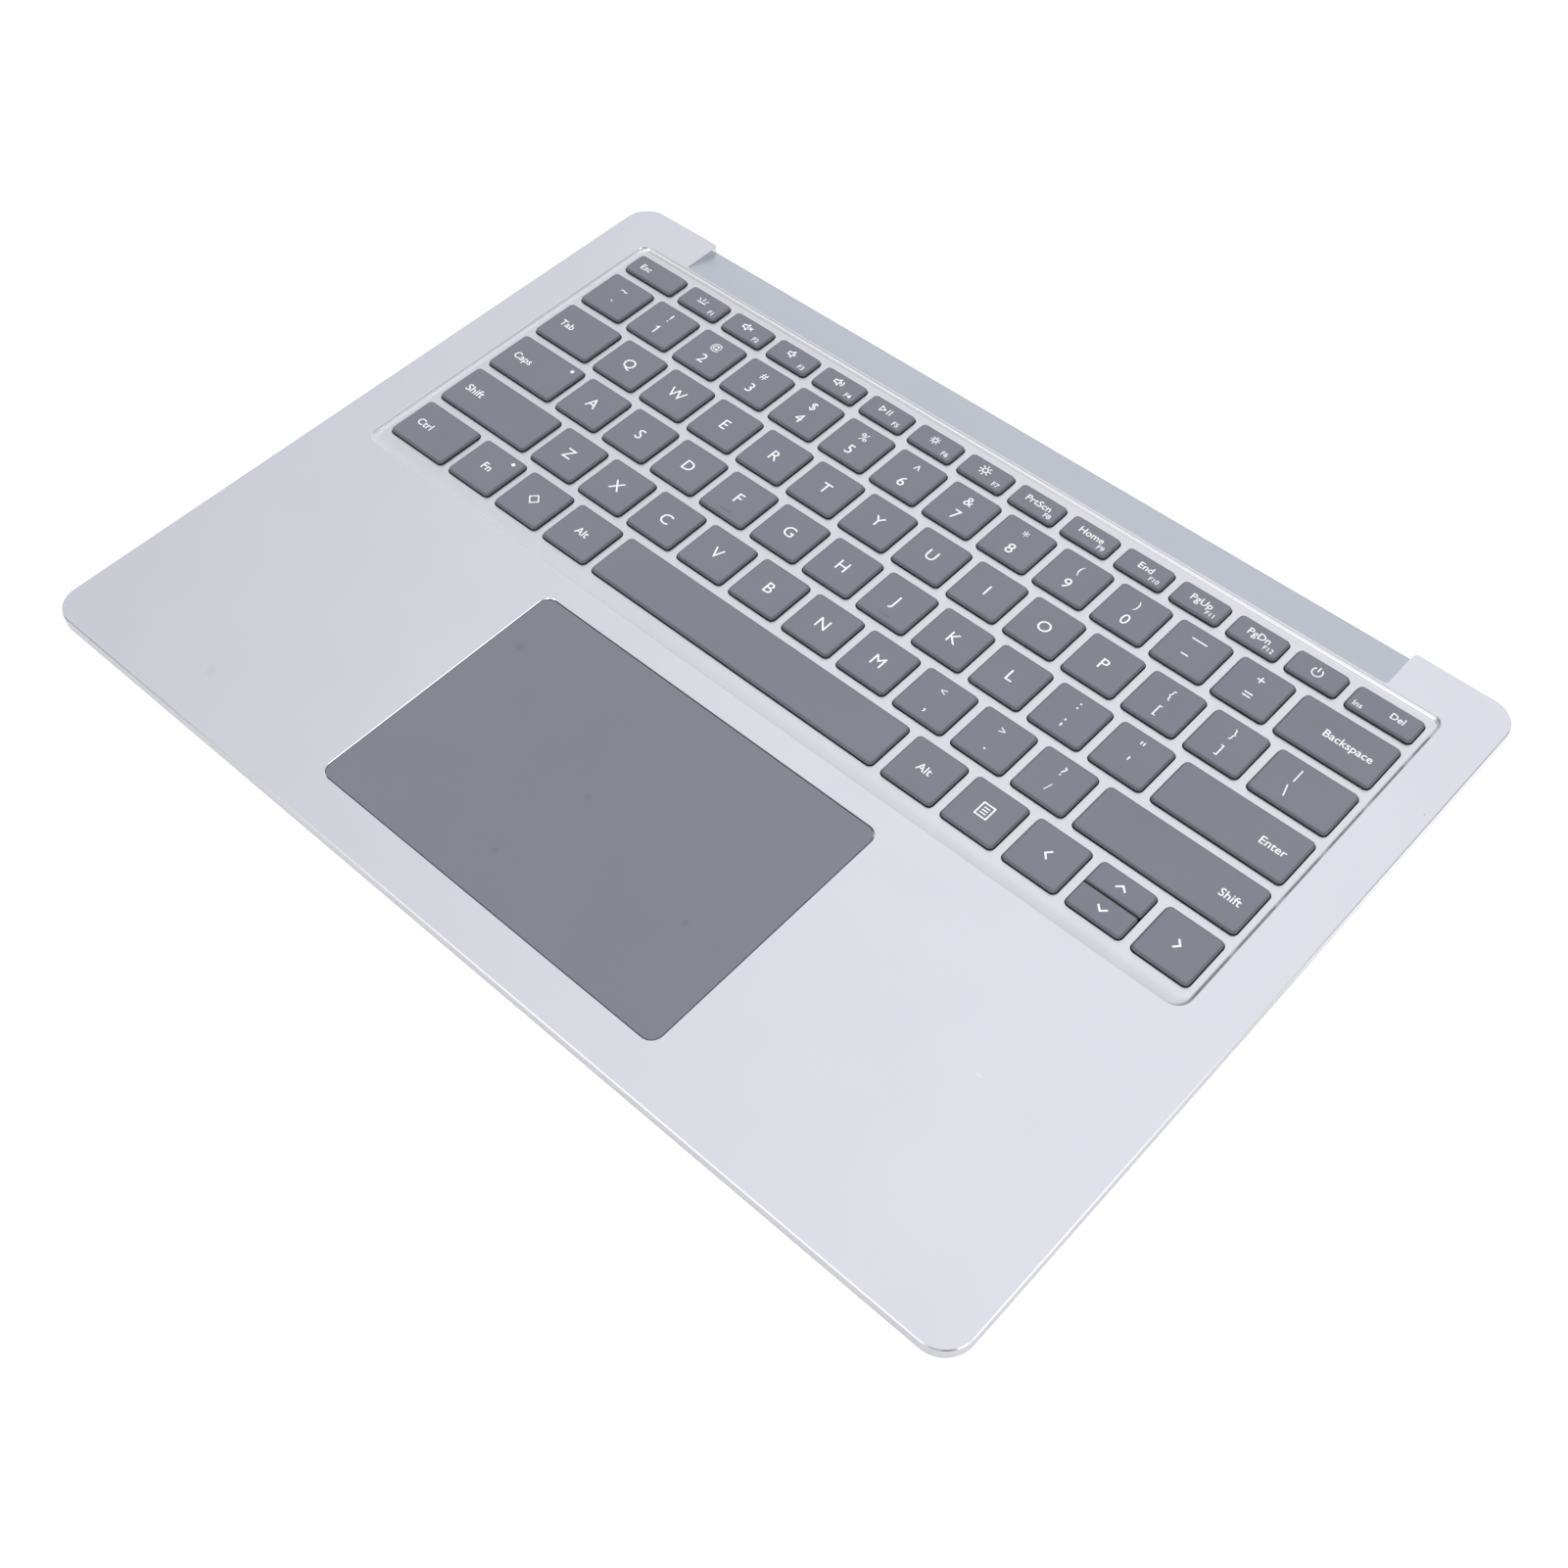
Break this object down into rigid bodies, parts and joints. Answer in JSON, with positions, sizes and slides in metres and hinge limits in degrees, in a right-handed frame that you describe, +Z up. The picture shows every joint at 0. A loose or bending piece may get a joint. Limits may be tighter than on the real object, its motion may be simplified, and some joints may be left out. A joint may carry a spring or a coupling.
{
  "type": "laptop palm rest",
  "caption": "Silver laptop palm rest: thin aluminium top case with a recessed grey keyboard, a wide flush touchpad and a hinge notch between two rear ears.",
  "frame": {"origin": "centre of the footprint, on the surface that the rim of the top case rests on", "axes": "+X to the user's right, +Y away from the user towards the hinge notch, +Z up through the keys"},
  "size_m": [0.308, 0.2238, 0.0041],
  "materials": {
    "anodised_aluminium": "fine bead-blasted and anodised silver, polished chamfer",
    "keycap_plastic": "matte grey with white legends",
    "polyester_film": "clear film",
    "silicone": "translucent silicone",
    "link_plastic": "natural nylon",
    "diffuser_film": "black backed light guide",
    "touchpad_glass": "etched satin glass, coloured from behind",
    "circuit_board": "solder mask",
    "switch_plastic": "moulded",
    "bracket_steel": "stamped sheet"
  },
  "bodies": {
    "case": {"top_case": "anodised_aluminium", "keyboard_plate": "keycap_plastic", "membrane_sheet": "polyester_film", "key_domes": "silicone", "scissor_links": "link_plastic", "backlight_sheet": "diffuser_film", "touchpad_bracket": "bracket_steel"},
    "key_tab": {"key_tab": "keycap_plastic"},
    "key_q": {"key_q": "keycap_plastic"},
    "key_w": {"key_w": "keycap_plastic"},
    "key_e": {"key_e": "keycap_plastic"},
    "key_r": {"key_r": "keycap_plastic"},
    "key_t": {"key_t": "keycap_plastic"},
    "key_y": {"key_y": "keycap_plastic"},
    "key_u": {"key_u": "keycap_plastic"},
    "key_i": {"key_i": "keycap_plastic"},
    "key_o": {"key_o": "keycap_plastic"},
    "key_p": {"key_p": "keycap_plastic"},
    "key_left_bracket": {"key_left_bracket": "keycap_plastic"},
    "key_right_bracket": {"key_right_bracket": "keycap_plastic"},
    "key_backslash": {"key_backslash": "keycap_plastic"},
    "key_caps": {"key_caps": "keycap_plastic"},
    "key_a": {"key_a": "keycap_plastic"},
    "key_s": {"key_s": "keycap_plastic"},
    "key_d": {"key_d": "keycap_plastic"},
    "key_f": {"key_f": "keycap_plastic"},
    "key_g": {"key_g": "keycap_plastic"},
    "key_h": {"key_h": "keycap_plastic"},
    "key_j": {"key_j": "keycap_plastic"},
    "key_k": {"key_k": "keycap_plastic"},
    "key_l": {"key_l": "keycap_plastic"},
    "key_semicolon": {"key_semicolon": "keycap_plastic"},
    "key_quote": {"key_quote": "keycap_plastic"},
    "key_enter": {"key_enter": "keycap_plastic"},
    "key_left_shift": {"key_left_shift": "keycap_plastic"},
    "key_z": {"key_z": "keycap_plastic"},
    "key_x": {"key_x": "keycap_plastic"},
    "key_c": {"key_c": "keycap_plastic"},
    "key_v": {"key_v": "keycap_plastic"},
    "key_b": {"key_b": "keycap_plastic"},
    "key_n": {"key_n": "keycap_plastic"},
    "key_m": {"key_m": "keycap_plastic"},
    "key_comma": {"key_comma": "keycap_plastic"},
    "key_period": {"key_period": "keycap_plastic"},
    "key_slash": {"key_slash": "keycap_plastic"},
    "key_right_shift": {"key_right_shift": "keycap_plastic"},
    "key_left_ctrl": {"key_left_ctrl": "keycap_plastic"},
    "key_fn": {"key_fn": "keycap_plastic"},
    "key_system": {"key_system": "keycap_plastic"},
    "key_left_alt": {"key_left_alt": "keycap_plastic"},
    "key_space": {"key_space": "keycap_plastic"},
    "key_right_alt": {"key_right_alt": "keycap_plastic"},
    "key_menu": {"key_menu": "keycap_plastic"},
    "key_arrow_left": {"key_arrow_left": "keycap_plastic"},
    "key_arrow_up": {"key_arrow_up": "keycap_plastic"},
    "key_arrow_down": {"key_arrow_down": "keycap_plastic"},
    "key_arrow_right": {"key_arrow_right": "keycap_plastic"},
    "touchpad": {"touchpad_glass": "touchpad_glass", "touchpad_board": "circuit_board", "touchpad_switch": "switch_plastic"}
  },
  "joints": [
    {"name": "key_tab_press", "type": "slide", "parent": "case", "child": "key_tab", "axis": [0, 0, -1], "range_m": [0, 0.0013], "stiffness_N_per_m": 420, "deforming": ["key_domes", "scissor_links"]},
    {"name": "key_q_press", "type": "slide", "parent": "case", "child": "key_q", "axis": [0, 0, -1], "range_m": [0, 0.0013], "stiffness_N_per_m": 420, "deforming": ["key_domes", "scissor_links"]},
    {"name": "key_w_press", "type": "slide", "parent": "case", "child": "key_w", "axis": [0, 0, -1], "range_m": [0, 0.0013], "stiffness_N_per_m": 420, "deforming": ["key_domes", "scissor_links"]},
    {"name": "key_e_press", "type": "slide", "parent": "case", "child": "key_e", "axis": [0, 0, -1], "range_m": [0, 0.0013], "stiffness_N_per_m": 420, "deforming": ["key_domes", "scissor_links"]},
    {"name": "key_r_press", "type": "slide", "parent": "case", "child": "key_r", "axis": [0, 0, -1], "range_m": [0, 0.0013], "stiffness_N_per_m": 420, "deforming": ["key_domes", "scissor_links"]},
    {"name": "key_t_press", "type": "slide", "parent": "case", "child": "key_t", "axis": [0, 0, -1], "range_m": [0, 0.0013], "stiffness_N_per_m": 420, "deforming": ["key_domes", "scissor_links"]},
    {"name": "key_y_press", "type": "slide", "parent": "case", "child": "key_y", "axis": [0, 0, -1], "range_m": [0, 0.0013], "stiffness_N_per_m": 420, "deforming": ["key_domes", "scissor_links"]},
    {"name": "key_u_press", "type": "slide", "parent": "case", "child": "key_u", "axis": [0, 0, -1], "range_m": [0, 0.0013], "stiffness_N_per_m": 420, "deforming": ["key_domes", "scissor_links"]},
    {"name": "key_i_press", "type": "slide", "parent": "case", "child": "key_i", "axis": [0, 0, -1], "range_m": [0, 0.0013], "stiffness_N_per_m": 420, "deforming": ["key_domes", "scissor_links"]},
    {"name": "key_o_press", "type": "slide", "parent": "case", "child": "key_o", "axis": [0, 0, -1], "range_m": [0, 0.0013], "stiffness_N_per_m": 420, "deforming": ["key_domes", "scissor_links"]},
    {"name": "key_p_press", "type": "slide", "parent": "case", "child": "key_p", "axis": [0, 0, -1], "range_m": [0, 0.0013], "stiffness_N_per_m": 420, "deforming": ["key_domes", "scissor_links"]},
    {"name": "key_left_bracket_press", "type": "slide", "parent": "case", "child": "key_left_bracket", "axis": [0, 0, -1], "range_m": [0, 0.0013], "stiffness_N_per_m": 420, "deforming": ["key_domes", "scissor_links"]},
    {"name": "key_right_bracket_press", "type": "slide", "parent": "case", "child": "key_right_bracket", "axis": [0, 0, -1], "range_m": [0, 0.0013], "stiffness_N_per_m": 420, "deforming": ["key_domes", "scissor_links"]},
    {"name": "key_backslash_press", "type": "slide", "parent": "case", "child": "key_backslash", "axis": [0, 0, -1], "range_m": [0, 0.0013], "stiffness_N_per_m": 420, "deforming": ["key_domes", "scissor_links"]},
    {"name": "key_caps_press", "type": "slide", "parent": "case", "child": "key_caps", "axis": [0, 0, -1], "range_m": [0, 0.0013], "stiffness_N_per_m": 420, "deforming": ["key_domes", "scissor_links"]},
    {"name": "key_a_press", "type": "slide", "parent": "case", "child": "key_a", "axis": [0, 0, -1], "range_m": [0, 0.0013], "stiffness_N_per_m": 420, "deforming": ["key_domes", "scissor_links"]},
    {"name": "key_s_press", "type": "slide", "parent": "case", "child": "key_s", "axis": [0, 0, -1], "range_m": [0, 0.0013], "stiffness_N_per_m": 420, "deforming": ["key_domes", "scissor_links"]},
    {"name": "key_d_press", "type": "slide", "parent": "case", "child": "key_d", "axis": [0, 0, -1], "range_m": [0, 0.0013], "stiffness_N_per_m": 420, "deforming": ["key_domes", "scissor_links"]},
    {"name": "key_f_press", "type": "slide", "parent": "case", "child": "key_f", "axis": [0, 0, -1], "range_m": [0, 0.0013], "stiffness_N_per_m": 420, "deforming": ["key_domes", "scissor_links"]},
    {"name": "key_g_press", "type": "slide", "parent": "case", "child": "key_g", "axis": [0, 0, -1], "range_m": [0, 0.0013], "stiffness_N_per_m": 420, "deforming": ["key_domes", "scissor_links"]},
    {"name": "key_h_press", "type": "slide", "parent": "case", "child": "key_h", "axis": [0, 0, -1], "range_m": [0, 0.0013], "stiffness_N_per_m": 420, "deforming": ["key_domes", "scissor_links"]},
    {"name": "key_j_press", "type": "slide", "parent": "case", "child": "key_j", "axis": [0, 0, -1], "range_m": [0, 0.0013], "stiffness_N_per_m": 420, "deforming": ["key_domes", "scissor_links"]},
    {"name": "key_k_press", "type": "slide", "parent": "case", "child": "key_k", "axis": [0, 0, -1], "range_m": [0, 0.0013], "stiffness_N_per_m": 420, "deforming": ["key_domes", "scissor_links"]},
    {"name": "key_l_press", "type": "slide", "parent": "case", "child": "key_l", "axis": [0, 0, -1], "range_m": [0, 0.0013], "stiffness_N_per_m": 420, "deforming": ["key_domes", "scissor_links"]},
    {"name": "key_semicolon_press", "type": "slide", "parent": "case", "child": "key_semicolon", "axis": [0, 0, -1], "range_m": [0, 0.0013], "stiffness_N_per_m": 420, "deforming": ["key_domes", "scissor_links"]},
    {"name": "key_quote_press", "type": "slide", "parent": "case", "child": "key_quote", "axis": [0, 0, -1], "range_m": [0, 0.0013], "stiffness_N_per_m": 420, "deforming": ["key_domes", "scissor_links"]},
    {"name": "key_enter_press", "type": "slide", "parent": "case", "child": "key_enter", "axis": [0, 0, -1], "range_m": [0, 0.0013], "stiffness_N_per_m": 420, "deforming": ["key_domes", "scissor_links"]},
    {"name": "key_left_shift_press", "type": "slide", "parent": "case", "child": "key_left_shift", "axis": [0, 0, -1], "range_m": [0, 0.0013], "stiffness_N_per_m": 420, "deforming": ["key_domes", "scissor_links"]},
    {"name": "key_z_press", "type": "slide", "parent": "case", "child": "key_z", "axis": [0, 0, -1], "range_m": [0, 0.0013], "stiffness_N_per_m": 420, "deforming": ["key_domes", "scissor_links"]},
    {"name": "key_x_press", "type": "slide", "parent": "case", "child": "key_x", "axis": [0, 0, -1], "range_m": [0, 0.0013], "stiffness_N_per_m": 420, "deforming": ["key_domes", "scissor_links"]},
    {"name": "key_c_press", "type": "slide", "parent": "case", "child": "key_c", "axis": [0, 0, -1], "range_m": [0, 0.0013], "stiffness_N_per_m": 420, "deforming": ["key_domes", "scissor_links"]},
    {"name": "key_v_press", "type": "slide", "parent": "case", "child": "key_v", "axis": [0, 0, -1], "range_m": [0, 0.0013], "stiffness_N_per_m": 420, "deforming": ["key_domes", "scissor_links"]},
    {"name": "key_b_press", "type": "slide", "parent": "case", "child": "key_b", "axis": [0, 0, -1], "range_m": [0, 0.0013], "stiffness_N_per_m": 420, "deforming": ["key_domes", "scissor_links"]},
    {"name": "key_n_press", "type": "slide", "parent": "case", "child": "key_n", "axis": [0, 0, -1], "range_m": [0, 0.0013], "stiffness_N_per_m": 420, "deforming": ["key_domes", "scissor_links"]},
    {"name": "key_m_press", "type": "slide", "parent": "case", "child": "key_m", "axis": [0, 0, -1], "range_m": [0, 0.0013], "stiffness_N_per_m": 420, "deforming": ["key_domes", "scissor_links"]},
    {"name": "key_comma_press", "type": "slide", "parent": "case", "child": "key_comma", "axis": [0, 0, -1], "range_m": [0, 0.0013], "stiffness_N_per_m": 420, "deforming": ["key_domes", "scissor_links"]},
    {"name": "key_period_press", "type": "slide", "parent": "case", "child": "key_period", "axis": [0, 0, -1], "range_m": [0, 0.0013], "stiffness_N_per_m": 420, "deforming": ["key_domes", "scissor_links"]},
    {"name": "key_slash_press", "type": "slide", "parent": "case", "child": "key_slash", "axis": [0, 0, -1], "range_m": [0, 0.0013], "stiffness_N_per_m": 420, "deforming": ["key_domes", "scissor_links"]},
    {"name": "key_right_shift_press", "type": "slide", "parent": "case", "child": "key_right_shift", "axis": [0, 0, -1], "range_m": [0, 0.0013], "stiffness_N_per_m": 420, "deforming": ["key_domes", "scissor_links"]},
    {"name": "key_left_ctrl_press", "type": "slide", "parent": "case", "child": "key_left_ctrl", "axis": [0, 0, -1], "range_m": [0, 0.0013], "stiffness_N_per_m": 420, "deforming": ["key_domes", "scissor_links"]},
    {"name": "key_fn_press", "type": "slide", "parent": "case", "child": "key_fn", "axis": [0, 0, -1], "range_m": [0, 0.0013], "stiffness_N_per_m": 420, "deforming": ["key_domes", "scissor_links"]},
    {"name": "key_system_press", "type": "slide", "parent": "case", "child": "key_system", "axis": [0, 0, -1], "range_m": [0, 0.0013], "stiffness_N_per_m": 420, "deforming": ["key_domes", "scissor_links"]},
    {"name": "key_left_alt_press", "type": "slide", "parent": "case", "child": "key_left_alt", "axis": [0, 0, -1], "range_m": [0, 0.0013], "stiffness_N_per_m": 420, "deforming": ["key_domes", "scissor_links"]},
    {"name": "key_space_press", "type": "slide", "parent": "case", "child": "key_space", "axis": [0, 0, -1], "range_m": [0, 0.0013], "stiffness_N_per_m": 420, "deforming": ["key_domes", "scissor_links"]},
    {"name": "key_right_alt_press", "type": "slide", "parent": "case", "child": "key_right_alt", "axis": [0, 0, -1], "range_m": [0, 0.0013], "stiffness_N_per_m": 420, "deforming": ["key_domes", "scissor_links"]},
    {"name": "key_menu_press", "type": "slide", "parent": "case", "child": "key_menu", "axis": [0, 0, -1], "range_m": [0, 0.0013], "stiffness_N_per_m": 420, "deforming": ["key_domes", "scissor_links"]},
    {"name": "key_arrow_left_press", "type": "slide", "parent": "case", "child": "key_arrow_left", "axis": [0, 0, -1], "range_m": [0, 0.0013], "stiffness_N_per_m": 420, "deforming": ["key_domes", "scissor_links"]},
    {"name": "key_arrow_up_press", "type": "slide", "parent": "case", "child": "key_arrow_up", "axis": [0, 0, -1], "range_m": [0, 0.0013], "stiffness_N_per_m": 420, "deforming": ["key_domes", "scissor_links"]},
    {"name": "key_arrow_down_press", "type": "slide", "parent": "case", "child": "key_arrow_down", "axis": [0, 0, -1], "range_m": [0, 0.0013], "stiffness_N_per_m": 420, "deforming": ["key_domes", "scissor_links"]},
    {"name": "key_arrow_right_press", "type": "slide", "parent": "case", "child": "key_arrow_right", "axis": [0, 0, -1], "range_m": [0, 0.0013], "stiffness_N_per_m": 420, "deforming": ["key_domes", "scissor_links"]},
    {"name": "touchpad_click", "type": "hinge", "parent": "case", "child": "touchpad", "pos_m": [0, -0.02915, 0.00245], "axis": [1, 0, 0], "range_deg": [0, 0.19], "stiffness_Nm_per_rad": 60}
  ]
}
